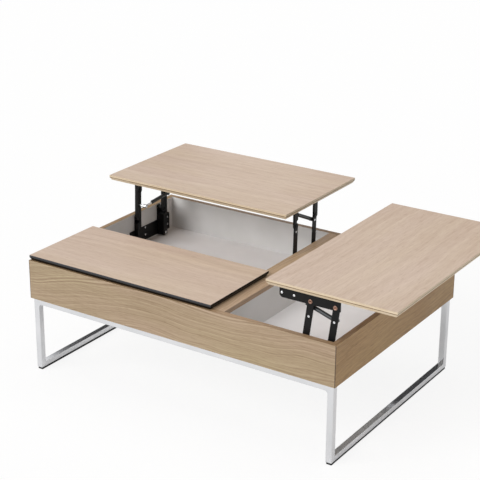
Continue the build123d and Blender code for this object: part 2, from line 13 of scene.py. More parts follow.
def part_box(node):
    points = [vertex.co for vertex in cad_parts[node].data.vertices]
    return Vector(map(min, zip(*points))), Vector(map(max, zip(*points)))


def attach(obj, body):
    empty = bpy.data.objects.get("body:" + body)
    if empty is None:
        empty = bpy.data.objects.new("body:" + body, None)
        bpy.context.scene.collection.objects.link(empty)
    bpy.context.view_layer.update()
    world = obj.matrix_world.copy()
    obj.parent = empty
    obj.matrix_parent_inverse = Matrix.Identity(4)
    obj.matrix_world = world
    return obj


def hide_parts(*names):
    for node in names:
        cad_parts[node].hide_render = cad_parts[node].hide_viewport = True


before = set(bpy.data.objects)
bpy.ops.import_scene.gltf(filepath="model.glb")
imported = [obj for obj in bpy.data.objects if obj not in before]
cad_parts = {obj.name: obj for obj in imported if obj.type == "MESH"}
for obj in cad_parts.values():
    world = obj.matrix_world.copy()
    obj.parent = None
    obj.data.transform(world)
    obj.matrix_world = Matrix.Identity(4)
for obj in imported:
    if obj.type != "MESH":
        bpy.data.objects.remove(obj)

LOG = logging.getLogger("table")
MM = 0.001
# Points this near to each other are one, in metres.
WELD = 1e-7
# Decimals of a metre to which two points of one solid agree.
POINT_DECIMALS = 6
# Least share of a face's normal along a way for the face to look that way.
SQUARE_ON = 0.95
NOISE_MIDDLE = 0.5
LACQUER_IOR = 1.48
# Roughness of a surface with no gloss.
MATT = 0.9
WHITE = (1.0, 1.0, 1.0, 1.0)
# Inputs and output of a mix node that mixes colours.
SHARE, FROM, TO, MIXED = 0, 6, 7, 2

Socket = bpy.types.NodeSocket
Tree = bpy.types.NodeTree
Node = bpy.types.Node
Material = bpy.types.Material
Piece = bpy.types.Object
Mesh = bmesh.types.BMesh
Inputs = dict[Union[str, int], Union[float, tuple, Socket]]
Colours = tuple[str, str, str]
Pair = tuple[float, float]
Triple = tuple[float, float, float]


class Axis(Enum):
    """Axis of the table's frame: X to the right, Y to the back, Z up."""

    X = 0
    Y = 1
    Z = 2


def srgb(code: str) -> tuple[float, float, float, float]:
    """Turn an sRGB hex colour to linear.

    Args:
        code: Colour as "#rrggbb".

    Returns:
        Linear red, green and blue, and an alpha of one.
    """
    parts = [int(code[i:i + 2], 16) / 255 for i in (1, 3, 5)]
    line = [c / 12.92 if c <= 0.04045 else ((c + 0.055) / 1.055) ** 2.4 for c in parts]
    return line[0], line[1], line[2], 1.0


def wire(tree: Tree, node: Node, inputs: Inputs) -> None:
    """Set a node's inputs to values or links.

    Args:
        tree: Tree that holds the node.
        node: Node to set.
        inputs: Values or sockets by input name or index.
    """
    for key, value in inputs.items():
        if isinstance(value, Socket):
            tree.links.new(value, node.inputs[key])
        else:
            node.inputs[key].default_value = value


def add(tree: Tree, kind: str, inputs: Optional[Inputs] = None, out: Union[int, str] = 0,
        **settings: Any) -> Socket:
    """Add one node with its settings, values and links.

    Args:
        tree: Tree that gets the node.
        kind: Blender's name of the node type.
        inputs: Values or sockets by input name or index.
        out: Output to give back.
        **settings: Attributes of the node.

    Returns:
        That output.
    """
    node = tree.nodes.new(kind)
    for key, value in settings.items():
        setattr(node, key, value)
    wire(tree, node, inputs or {})
    return node.outputs[out]


def new_material(name: str) -> tuple[Material, Tree, Node]:
    """Make a node material.

    Args:
        name: Name of the material.

    Returns:
        The material, its tree and its surface shader.
    """
    material = bpy.data.materials.new(name)
    material.use_nodes = True
    return material, material.node_tree, material.node_tree.nodes["Principled BSDF"]


def cells(tree: Tree, size: Triple, start: float = 0.0) -> Socket:
    """Place on the resting object, counted in cells of a size.

    Args:
        tree: Tree that gets the nodes.
        size: Cell along X, Y and Z, in millimetres.
        start: Offset that makes one board differ from the next.

    Returns:
        The place as a vector.
    """
    place = add(tree, "ShaderNodeTexCoord", out="Object")
    scale = tuple(1 / (side * MM) for side in size)
    return add(tree, "ShaderNodeMapping",
               {"Vector": place, "Scale": scale, "Location": (start, start, start)})


@dataclass(frozen=True)
class OakVeneer:
    """Oak, sliced thin, pressed on board and lacquered matt.

    Slicing along the trunk gives long fibres, short open pores and wavy growth lines, and the lacquer a
    soft sheen.

    Attributes:
        name: Material name.
        light: Early wood between the growth lines.
        blush: Pinker early wood that parts of a board drift to.
        dark: Late wood in the lines.
        grain: Axis that the fibres run along.
        rings: Usual width of a growth line, in millimetres.
        climb: Slope of the lines across the board.
        sway: How many lines a wave moves them by.
        ring_share: How strongly the growth lines show.
        fibre_share: How strongly the fibres show.
        cloud_share: How strongly one part of a board differs from the next.
        start: Offset of the figure, so that no two boards are alike.
        corner: Middle and half length, in metres, of a board whose mitred ends show a glue line.
        wave: Width and length of a wave of the lines, in millimetres.
        fibre: Width and length of a fibre, in millimetres, drawn about eight times too coarse to show.
        pore: Width and length of an open pore, in millimetres, drawn five times too coarse to show.
        pore_share: How strongly the pores show.
        pore_depth: Depth of a pore, in millimetres.
        patch: Width and length of a part of a board, in millimetres.
        glue: Colour of a glue line.
        glue_width: Width of a glue line, in millimetres.
        roughness: Least and most roughness, from fibre to fibre.
        pore_levels: Noise at which a pore begins, and at which it is full.
        blush_levels: Noise at which the blush begins, and at which it is full.
        layers: Finer layers of noise in the waves, the growth lines, the fibres and everything else.
        offsets: Offsets that keep the pores, the clouds and the blush of one board apart.
        relief: How strongly the pores turn the light.
    """

    name: str
    light: str
    blush: str
    dark: str
    grain: Axis
    rings: float = 5.5
    climb: float = 0.08
    sway: float = 42.0
    ring_share: float = 1.7
    fibre_share: float = 0.8
    cloud_share: float = 0.4
    start: float = 0.0
    corner: Optional[Pair] = None
    wave: Pair = (480.0, 900.0)
    fibre: Pair = (4.0, 80.0)
    pore: Pair = (1.6, 26.0)
    pore_share: float = 0.45
    pore_depth: float = 0.15
    patch: Pair = (110.0, 600.0)
    glue: str = "#46351f"
    glue_width: float = 1.8
    roughness: Pair = (0.32, 0.56)
    pore_levels: ClassVar[Pair] = (0.58, 0.72)
    blush_levels: ClassVar[Pair] = (0.35, 0.65)
    layers: ClassVar[tuple[float, float, float, float]] = (3.0, 2.0, 2.0, 1.0)
    offsets: ClassVar[Triple] = (2.0, 4.0, 9.0)
    relief: ClassVar[float] = 0.25

    def stretch(self, across: float, along: float) -> Triple:
        """Three sizes, one of them along the grain.

        Args:
            across: Size on the two axes across the grain.
            along: Size on the axis of the grain.

        Returns:
            Sizes along X, Y and Z.
        """
        size = [across, across, across]
        size[self.grain.value] = along
        return size[0], size[1], size[2]

    def noise(self, tree: Tree, cell: Pair, layers: float, offset: float = 0.0) -> Socket:
        """Noise drawn out along the grain.

        Args:
            tree: Tree of the veneer.
            cell: Its width and length, in millimetres.
            layers: How many finer layers it has.
            offset: Added to the board's own offset.

        Returns:
            Value about the middle.
        """
        place = cells(tree, self.stretch(*cell), self.start + offset)
        return add(tree, "ShaderNodeTexNoise", {"Vector": place, "Scale": 1.0, "Detail": layers})

    def growth(self, tree: Tree) -> Socket:
        """Growth lines, wider and narrower as the years went.

        Args:
            tree: Tree of the veneer.

        Returns:
            Value about the middle.
        """
        wave_layers, line_layers, _, _ = self.layers
        place = add(tree, "ShaderNodeTexCoord", out="Object")
        step = 1 / (self.rings * MM)
        line = add(tree, "ShaderNodeVectorMath", {0: place, 1: self.stretch(step, -self.climb * step)},
                   "Value", operation="DOT_PRODUCT")
        wave = self.noise(tree, self.wave, wave_layers)
        swayed = add(tree, "ShaderNodeMath", {0: wave, 1: self.sway, 2: line}, operation="MULTIPLY_ADD")
        return add(tree, "ShaderNodeTexNoise", {"W": swayed, "Scale": 1.0, "Detail": line_layers},
                   noise_dimensions="1D")

    def build(self) -> Material:
        """Make the veneer.

        Returns:
            The material.
        """
        material, tree, shader = new_material(self.name)
        _, _, fibre_layers, layers = self.layers
        pore_offset, cloud_offset, blush_offset = self.offsets
        fibre = self.noise(tree, self.fibre, fibre_layers)
        cloud = self.noise(tree, self.patch, layers, cloud_offset)
        shares = {self.growth(tree): self.ring_share, fibre: self.fibre_share, cloud: self.cloud_share}
        late: Union[float, Socket] = NOISE_MIDDLE
        for pattern, share in shares.items():
            level = add(tree, "ShaderNodeMath", {0: pattern, 1: NOISE_MIDDLE}, operation="SUBTRACT")
            late = add(tree, "ShaderNodeMath", {0: level, 1: share, 2: late}, operation="MULTIPLY_ADD")
        pores = add(tree, "ShaderNodeMapRange", {
            "Value": self.noise(tree, self.pore, layers, pore_offset),
            "From Min": self.pore_levels[0], "From Max": self.pore_levels[1]})
        late = add(tree, "ShaderNodeMath", {0: pores, 1: self.pore_share, 2: late},
                   operation="MULTIPLY_ADD")
        drift = add(tree, "ShaderNodeMapRange", {
            "Value": self.noise(tree, self.patch, layers, blush_offset),
            "From Min": self.blush_levels[0], "From Max": self.blush_levels[1]})
        early = add(tree, "ShaderNodeMix", {SHARE: drift, FROM: srgb(self.light), TO: srgb(self.blush)},
                    MIXED, data_type="RGBA")
        colour = add(tree, "ShaderNodeMix", {SHARE: late, FROM: early, TO: srgb(self.dark)}, MIXED,
                     data_type="RGBA")
        if self.corner:
            colour = self.glue_line(tree, colour)
        rough = add(tree, "ShaderNodeMapRange", {
            "Value": fibre, "To Min": self.roughness[0], "To Max": self.roughness[1]})
        bump = add(tree, "ShaderNodeBump", {
            "Strength": self.relief, "Distance": self.pore_depth * MM, "Height": pores}, invert=True)
        wire(tree, shader, {"Base Color": colour, "Roughness": rough, "Normal": bump, "IOR": LACQUER_IOR})
        return material

    def glue_line(self, tree: Tree, colour: Socket) -> Socket:
        """Darken the glue line at both mitred ends.

        Args:
            tree: Tree of the veneer.
            colour: Veneer colour.

        Returns:
            Colour with the line.
        """
        middle, half = self.corner
        place = add(tree, "ShaderNodeTexCoord", out="Object")
        along = add(tree, "ShaderNodeSeparateXYZ", {0: place}, self.grain.name)
        from_middle = add(tree, "ShaderNodeMath", {0: along, 1: middle}, operation="SUBTRACT")
        reach = add(tree, "ShaderNodeMath", {0: from_middle}, operation="ABSOLUTE")
        mask = add(tree, "ShaderNodeMath", {0: reach, 1: half - self.glue_width * MM},
                   operation="GREATER_THAN")
        return add(tree, "ShaderNodeMix", {SHARE: mask, FROM: colour, TO: srgb(self.glue)}, MIXED,
                   data_type="RGBA")


@dataclass(frozen=True)
class MapleLipping:
    """Maple strip glued round a top and planed to an undercut.

    Planing leaves a pale, even face, and a brown glue line shows on the arris between the two faces.

    Attributes:
        name: Material name.
        arris: Height of that arris, in metres.
        light: Early wood.
        dark: Late wood.
        line: Colour of the glue line.
        line_width: Width of the glue line, in millimetres.
        fibre: Width of a fibre, in millimetres, drawn about ten times too coarse to show.
        stretch: How many times as long as wide a fibre is.
        depth: Depth of the fibres, in millimetres.
        roughness: Least and most roughness, from fibre to fibre.
        wood_levels: Noise of pure early wood, and of pure late wood.
        layers: Finer layers of noise in the fibres.
        layer_share: How strongly each finer layer shows.
        relief: How strongly the fibres turn the light.
    """

    name: str
    arris: float
    light: str = "#d2c1a7"
    dark: str = "#c2ae90"
    line: str = "#6f5232"
    line_width: float = 2.4
    fibre: float = 5.0
    stretch: float = 14.0
    depth: float = 0.1
    roughness: Pair = (0.38, 0.62)
    wood_levels: ClassVar[Pair] = (0.3, 0.75)
    layers: ClassVar[float] = 3.0
    layer_share: ClassVar[float] = 0.6
    relief: ClassVar[float] = 0.2

    def build(self) -> Material:
        """Make the lipping.

        Returns:
            The material.
        """
        material, tree, shader = new_material(self.name)
        long_cell = self.fibre * self.stretch
        fibre = add(tree, "ShaderNodeTexNoise", {
            "Vector": cells(tree, (long_cell, long_cell, self.fibre)), "Scale": 1.0,
            "Detail": self.layers, "Roughness": self.layer_share})
        part = add(tree, "ShaderNodeMapRange", {
            "Value": fibre, "From Min": self.wood_levels[0], "From Max": self.wood_levels[1]})
        wood = add(tree, "ShaderNodeMix", {SHARE: part, FROM: srgb(self.light), TO: srgb(self.dark)},
                   MIXED, data_type="RGBA")
        place = add(tree, "ShaderNodeTexCoord", out="Object")
        height = add(tree, "ShaderNodeSeparateXYZ", {0: place}, Axis.Z.name)
        mask = add(tree, "ShaderNodeMath", {0: height, 1: self.arris, 2: self.line_width / 2 * MM},
                   operation="COMPARE")
        colour = add(tree, "ShaderNodeMix", {SHARE: mask, FROM: wood, TO: srgb(self.line)}, MIXED,
                     data_type="RGBA")
        rough = add(tree, "ShaderNodeMapRange", {
            "Value": fibre, "To Min": self.roughness[0], "To Max": self.roughness[1]})
        bump = add(tree, "ShaderNodeBump", {
            "Strength": self.relief, "Distance": self.depth * MM, "Height": fibre})
        wire(tree, shader, {"Base Color": colour, "Roughness": rough, "Normal": bump, "IOR": LACQUER_IOR})
        return material


@dataclass(frozen=True)
class PaintedHighlightEdge:
    """Black lacquered edge with a satin grey metallic strip along its arris, which is a painted highlight.

    The strip stands in for the light that the arris catches, and it fades down to the black lacquer as the
    painted highlight falls off.

    Attributes:
        name: Material name.
        arris: Height of the top face, in metres.
        strip: Colour of the strip, the painted highlight.
        lacquer: Colour of the lacquer.
        highlight_width: Height of the painted highlight strip, in millimetres.
        highlight_falloff: Height over which the painted highlight fades down to the black lacquer, in
            millimetres.
        draw: Length and width of the lines that the die left, in millimetres, ten times too coarse to show.
        roughness: Least and most roughness across those lines.
    """

    name: str
    arris: float
    strip: str = "#4c4d52"
    lacquer: str = "#0b0b0c"
    highlight_width: float = 1.6
    highlight_falloff: float = 4.4
    draw: Pair = (90.0, 1.5)
    roughness: Pair = (0.2, 0.4)

    def build(self) -> Material:
        """Make the edge.

        Returns:
            The material.
        """
        material, tree, shader = new_material(self.name)
        place = add(tree, "ShaderNodeTexCoord", out="Object")
        height = add(tree, "ShaderNodeSeparateXYZ", {0: place}, Axis.Z.name)
        highlight_foot = self.arris - self.highlight_width * MM
        # Grey metallic strip at the top of the edge: a painted highlight that fades down into the black
        # lacquer.
        metal = add(tree, "ShaderNodeMapRange", {
            "Value": height, "From Min": highlight_foot - self.highlight_falloff * MM, "From Max": highlight_foot})
        colour = add(tree, "ShaderNodeMix", {SHARE: metal, FROM: srgb(self.lacquer), TO: srgb(self.strip)},
                     MIXED, data_type="RGBA")
        length, width = self.draw
        lines = add(tree, "ShaderNodeTexNoise", {
            "Vector": cells(tree, (length, width, width)), "Scale": 1.0})
        rough = add(tree, "ShaderNodeMapRange", {
            "Value": lines, "To Min": self.roughness[0], "To Max": self.roughness[1]})
        wire(tree, shader, {"Base Color": colour, "Metallic": metal, "Roughness": rough})
        return material


@dataclass(frozen=True)
class Skin:
    """Sprayed, plated, planed or moulded skin: its colour drifts a little and its grit catches the light.

    Attributes:
        name: Material name.
        light: Main colour.
        dark: Colour that it drifts to.
        roughness: Middle roughness.
        metallic: One for bare metal.
        grit: Size of the surface's texture along X, Y and Z, in millimetres.
        depth: Depth of that texture, in millimetres.
        edge: Radius that sharp edges look worn to, in millimetres.
        drift: Size of the patches that the colour drifts in, in millimetres.
        specular: Level of the plain gloss of a surface that isn't metal.
        layers: Finer layers of noise in the grit.
        drift_levels: Noise at which the drift begins, and at which it is full.
        spread: Share of the roughness that the grit adds or takes away.
        relief: How strongly the grit turns the light.
        edge_rays: Rays that feel for a sharp edge.
    """

    name: str
    light: str
    dark: str
    roughness: float
    metallic: float = 0.0
    grit: Triple = (2.5, 2.5, 2.5)
    depth: float = 0.02
    edge: float = 0.0
    drift: float = 110.0
    specular: float = 0.5
    layers: ClassVar[float] = 3.0
    drift_levels: ClassVar[Pair] = (0.3, 0.7)
    spread: ClassVar[float] = 0.25
    relief: ClassVar[float] = 0.3
    edge_rays: ClassVar[int] = 4

    def build(self) -> Material:
        """Make the skin.

        Returns:
            The material.
        """
        material, tree, shader = new_material(self.name)
        grain = add(tree, "ShaderNodeTexNoise", {
            "Vector": cells(tree, self.grit), "Scale": 1.0, "Detail": self.layers})
        cloud = add(tree, "ShaderNodeTexNoise", {
            "Vector": cells(tree, (self.drift, self.drift, self.drift)), "Scale": 1.0})
        part = add(tree, "ShaderNodeMapRange", {
            "Value": cloud, "From Min": self.drift_levels[0], "From Max": self.drift_levels[1]})
        colour = add(tree, "ShaderNodeMix", {SHARE: part, FROM: srgb(self.light), TO: srgb(self.dark)},
                     MIXED, data_type="RGBA")
        rough = add(tree, "ShaderNodeMapRange", {
            "Value": grain, "To Min": (1 - self.spread) * self.roughness,
            "To Max": (1 + self.spread) * self.roughness})
        bump = {"Strength": self.relief, "Distance": self.depth * MM, "Height": grain}
        if self.edge:
            bump["Normal"] = add(tree, "ShaderNodeBevel", {"Radius": self.edge * MM},
                                 samples=self.edge_rays)
        wire(tree, shader, {"Base Color": colour, "Roughness": rough, "Metallic": self.metallic,
                            "Normal": add(tree, "ShaderNodeBump", bump),
                            "Specular IOR Level": self.specular})
        return material


class Finish(Enum):
    """Finishes that several pieces share."""

    # Rolled lacquer: an even satin grey with a faint stipple.
    GREY = Skin("grey_lacquered_board", "#e2e1e0", "#dad9d7", 0.42, depth=0.03)
    # The same lacquer on the floor of the box, painted paler as painted light for the more brightly lit
    # floor, and a little smoother.
    PALE_GREY = Skin("pale_grey_lacquered_floor", "#f7f6f7", "#f0eff0", 0.38, depth=0.03)
    # Stained board under the box: grey and matt.
    STAINED = Skin("grey_stained_board", "#c6c3bf", "#b5b2ae", 0.7, depth=0.05)
    # Polished and plated bar: a mirror, a little soft from polishing, with rounded edges.
    CHROME = Skin("polished_chrome_bar", "#e2e3e6", "#d8dadd", 0.1, 1.0, depth=0.003, edge=1.6)
    # Powder baked on sheet steel: black, with a fine orange peel.
    BLACK = Skin("powder_coated_steel", "#090909", "#0e0e0e", 0.45, grit=(1.6, 1.6, 1.6), depth=0.04,
                 edge=0.5, specular=0.18)
    # Enamel sprayed on drawn tube: slate grey and smooth, with a line of light along the tube.
    ENAMEL = Skin("enamelled_steel_tube", "#2f3436", "#272b2d", 0.3, grit=(2.0, 2.0, 2.0), depth=0.01)
    # Zinc plating with a clear passivation: bright, slightly clouded.
    ZINC = Skin("bright_zinc_plate", "#e2e3e5", "#d2d3d5", 0.26, 1.0, grit=(1.2, 1.2, 1.2), depth=0.01)
    # Copper plating on rolled rivets: warm and a little dulled.
    COPPER = Skin("copper_plated_rivet", "#a08070", "#826556", 0.32, 1.0, grit=(1.2, 1.2, 1.2), depth=0.01)
    # Extruded rubber: matt black.
    RUBBER = Skin("extruded_rubber", "#161616", "#1e1e1e", 0.8, depth=0.06)
    # Planed beech: fine long fibres.
    BEECH = Skin("planed_beech", "#cbae88", "#b8976d", 0.6, grit=(60.0, 4.0, 4.0), depth=0.05, drift=40.0)
    # Black lacquer polished on the edge: it mirrors the light along its arris.
    BLACK_EDGE = Skin("polished_black_lacquer", "#050506", "#080809", 0.2, grit=(3.0, 3.0, 3.0), edge=0.8,
                      specular=0.15)

    def material(self) -> Material:
        """Material of the finish, made once."""
        return bpy.data.materials.get(self.value.name) or self.value.build()


def dress(name: str, materials: list[Material], choose: Optional[Callable[[Vector], int]] = None) -> None:
    """Give a node its materials, face by face.

    Args:
        name: Node to dress.
        materials: Materials that its faces use.
        choose: Picks a material's index from the way a face points.
    """
    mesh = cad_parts[name].data
    mesh.materials.clear()
    for material in materials:
        mesh.materials.append(material)
    for face in mesh.polygons:
        face.material_index = choose(face.normal) if choose else 0
    LOG.info("%s in %s", name, ", ".join(material.name for material in materials))


def solids(name: str) -> list[list[Vector]]:
    """Split a node's points into its separate solids.

    Args:
        name: Node of one or more solids.

    Returns:
        Points of each solid.
    """
    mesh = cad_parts[name].data
    keys = [tuple(round(c, POINT_DECIMALS) for c in vertex.co) for vertex in mesh.vertices]
    leader = {key: key for key in keys}

    def lead(key: Triple) -> Triple:
        """Find the point that stands for a point's solid.

        Args:
            key: Point to start from.

        Returns:
            The point that leads it.
        """
        while leader[key] != key:
            key = leader[key]
        return key

    for face in mesh.polygons:
        first = lead(keys[face.vertices[0]])
        for index in face.vertices[1:]:
            leader[lead(keys[index])] = first
    groups: dict[Triple, list[Vector]] = {}
    for key in leader:
        groups.setdefault(lead(key), []).append(Vector(key))
    return list(groups.values())


@dataclass(frozen=True)
class Seat:
    """Seat of a round fastener, in metres.

    Attributes:
        place: Middle of the head's under face.
        facing: Way that the head faces.
        radius: Head radius.
        height: Head height.
        shank: Length of the shank below the head.
        flat: Height within which points are on one face.
        rim_share: Share of the radius from which a point is on the rim.
    """

    place: Vector
    facing: Vector
    radius: float
    height: float
    shank: float
    flat: ClassVar[float] = 0.05 * MM
    rim_share: ClassVar[float] = 0.95

    @classmethod
    def read(cls, points: list[Vector], axis: Axis, facing: float) -> "Seat":
        """Measure the head at one end of a shank, or a plain disc.

        Args:
            points: Points of its solid.
            axis: Axis that it points along.
            facing: One if the head faces up that axis, minus one if down.

        Returns:
            The seat.
        """
        low = Vector([min(point[i] for point in points) for i in range(3)])
        high = Vector([max(point[i] for point in points) for i in range(3)])
        middle = (low + high) / 2
        across = (axis.value + 1) % 3
        radius = (high - low)[across] / 2
        rim = [point[axis.value] * facing for point in points
               if abs(point[across] - middle[across]) > cls.rim_share * radius]
        heel = min(point[axis.value] * facing for point in points)
        under = max((level for level in rim if level < max(rim) - cls.flat), default=heel)
        place = middle.copy()
        place[axis.value] = under * facing
        way = Vector((0, 0, 0))
        way[axis.value] = facing
        return cls(place, way, radius, max(rim) - under, under - heel)

    def transform(self) -> Matrix:
        """Transform from a fastener on the origin that faces +Z."""
        return Matrix.Translation(self.place) @ self.facing.to_track_quat("Z", "Y").to_matrix().to_4x4()


def lathe(profile: list[Pair], steps: int) -> Mesh:
    """Turn a profile about Z.

    Args:
        profile: Radius and height of each point, from the bottom middle to the top middle.
        steps: Facets round the axis.

    Returns:
        A closed mesh.
    """
    mesh = bmesh.new()
    points = [mesh.verts.new((radius, 0.0, height)) for radius, height in profile]
    edges = [mesh.edges.new(pair) for pair in zip(points, points[1:])]
    bmesh.ops.spin(mesh, geom=points + edges, cent=(0, 0, 0), axis=(0, 0, 1), angle=2 * math.pi,
                   steps=steps, use_merge=True)
    bmesh.ops.remove_doubles(mesh, verts=mesh.verts, dist=WELD)
    bmesh.ops.recalc_face_normals(mesh, faces=mesh.faces)
    return mesh


def to_object(name: str, mesh: Mesh, material: Optional[Material] = None) -> Piece:
    """Make an object of a mesh.

    Args:
        name: Piece name.
        mesh: Mesh, which is freed.
        material: Its material, if it has one.

    Returns:
        The linked object.
    """
    data = bpy.data.meshes.new(name)
    mesh.to_mesh(data)
    mesh.free()
    if material:
        data.materials.append(material)
    piece = bpy.data.objects.new(name, data)
    bpy.context.scene.collection.objects.link(piece)
    return piece


@dataclass(frozen=True)
class PanScrew:
    """Pan head screw with a cross recess; its sizes are shares of the head's radius or height.

    Attributes:
        slot_width: Width of an arm of the cross.
        slot_length: Length of the cross.
        slot_depth: Depth of the cross.
        shank: Radius of the shank.
        crown: Radius and height of the head's points, from its under face up.
        steps: Facets round the screw.
    """

    slot_width: float = 0.26
    slot_length: float = 1.15
    slot_depth: float = 0.62
    shank: float = 0.5
    crown: tuple[Pair, ...] = ((1.0, 0.0), (1.0, 0.35), (0.93, 0.68), (0.74, 0.9), (0.45, 1.0))
    steps: int = 24

    def mesh(self, seat: Seat) -> Mesh:
        """Model the screw that a seat asks for.

        Args:
            seat: Size of the screw.

        Returns:
            Mesh on the origin that faces +Z.
        """
        radius, height = seat.radius, seat.height
        head = [(share * radius, rise * height) for share, rise in self.crown]
        shank = [(0.0, -seat.shank), (self.shank * radius, -seat.shank), (self.shank * radius, 0.0)]
        screw = to_object("screw", lathe(shank + head + [(0.0, height)], self.steps))
        self.press(screw, radius, height)
        result = bmesh.new()
        result.from_mesh(screw.data)
        bpy.data.objects.remove(screw)
        return result

    def press(self, screw: Piece, radius: float, height: float) -> None:
        """Press the cross into the head.

        Args:
            screw: Screw without it.
            radius: Head radius.
            height: Head height.
        """
        for quarter in range(2):
            tool = bmesh.new()
            bmesh.ops.create_cube(tool, size=1.0)
            size = Matrix.Diagonal((self.slot_length * radius, self.slot_width * radius,
                                    2 * self.slot_depth * height, 1.0))
            turn = Matrix.Rotation(quarter * math.pi / 2, 4, Axis.Z.name)
            place = Matrix.Translation((0, 0, height))
            bmesh.ops.transform(tool, verts=tool.verts, matrix=place @ turn @ size)
            cutter = to_object("punch", tool)
            change = screw.modifiers.new("cross", "BOOLEAN")
            change.object = cutter
            change.operation = "DIFFERENCE"
            bpy.context.view_layer.objects.active = screw
            bpy.ops.object.modifier_apply(modifier=change.name)
            bpy.data.objects.remove(cutter)


@dataclass(frozen=True)
class DomeRivet:
    """Rivet head with a rolled rim and a low crown.

    Attributes:
        crown: Height of the crown above the plain disc, in millimetres.
        rim: Radius and height of the rim's points, as shares of the disc's.
        dome: Radius and height of the crown's points, as shares of the disc's radius and of the crown.
        steps: Facets round the rivet.
    """

    crown: float = 0.6
    rim: tuple[Pair, ...] = ((1.0, 0.0), (1.0, 0.55), (0.93, 0.85))
    dome: tuple[Pair, ...] = ((0.75, 0.4), (0.45, 0.8), (0.2, 1.0), (0.0, 1.0))
    steps: int = 28

    def mesh(self, seat: Seat) -> Mesh:
        """Model the rivet that a seat asks for.

        Args:
            seat: Size of the rivet.

        Returns:
            Mesh on the origin that faces +Z.
        """
        rim = [(share * seat.radius, rise * seat.height) for share, rise in self.rim]
        dome = [(share * seat.radius, seat.height + rise * self.crown * MM) for share, rise in self.dome]
        return lathe([(0.0, 0.0)] + rim + dome, self.steps)


@dataclass(frozen=True)
class EyeletRivet:
    """Tubular rivet with an end rolled to a ring; its sizes are shares of the head's radius or height.

    Attributes:
        bore: Radius of the hole.
        mouth: Height of the hole's upper edge.
        depth: Depth of the hole below the head's under face.
        shank: Radius of the shank.
        far: Radius and height of the points of the plain head at the far end.
        ring: Radius and height of the ring's points, from its under face up.
        steps: Facets round the rivet.
    """

    bore: float = 0.42
    mouth: float = 0.5
    depth: float = 1.6
    shank: float = 0.55
    far: tuple[Pair, ...] = ((0.0, 0.0), (0.9, 0.0), (1.0, 0.3), (1.0, 1.0))
    ring: tuple[Pair, ...] = ((1.0, 0.0), (1.0, 0.4), (0.93, 0.75), (0.78, 1.0), (0.6, 0.9))
    steps: int = 28

    def mesh(self, seat: Seat) -> Mesh:
        """Model the rivet that a seat asks for.

        Args:
            seat: Size of the rivet.

        Returns:
            Mesh on the origin that faces +Z.
        """
        radius, height, foot = seat.radius, seat.height, -seat.shank
        far = [(share * radius, foot + rise * height) for share, rise in self.far]
        shank = [(self.shank * radius, foot + height), (self.shank * radius, 0.0)]
        ring = [(share * radius, rise * height) for share, rise in self.ring]
        floor = -self.depth * height
        bore = [(self.bore * radius, self.mouth * height), (self.bore * radius, floor), (0.0, floor)]
        return lathe(far + shank + ring + bore, self.steps)


def fasten(name: str, node: str, body: str, kind: Union[PanScrew, DomeRivet, EyeletRivet],
           seats: list[Seat], finish: Finish = Finish.ZINC) -> None:
    """Put the same plated fastener on every seat of a node.

    Args:
        name: Piece name.
        node: Node that the piece stands for.
        body: Body that carries it.
        kind: Fastener to make.
        seats: Where each one sits.
        finish: Its plating.
    """
    group = bmesh.new()
    model = bpy.data.meshes.new("fastener")
    for seat in seats:
        one = kind.mesh(seat)
        bmesh.ops.transform(one, matrix=seat.transform(), verts=one.verts)
        one.to_mesh(model)
        one.free()
        group.from_mesh(model)
    bpy.data.meshes.remove(model)
    piece = to_object(name, group, finish.material())
    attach(piece, body)
    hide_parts(node)
    LOG.info("%s, %d of them, for %s", name, len(seats), node)


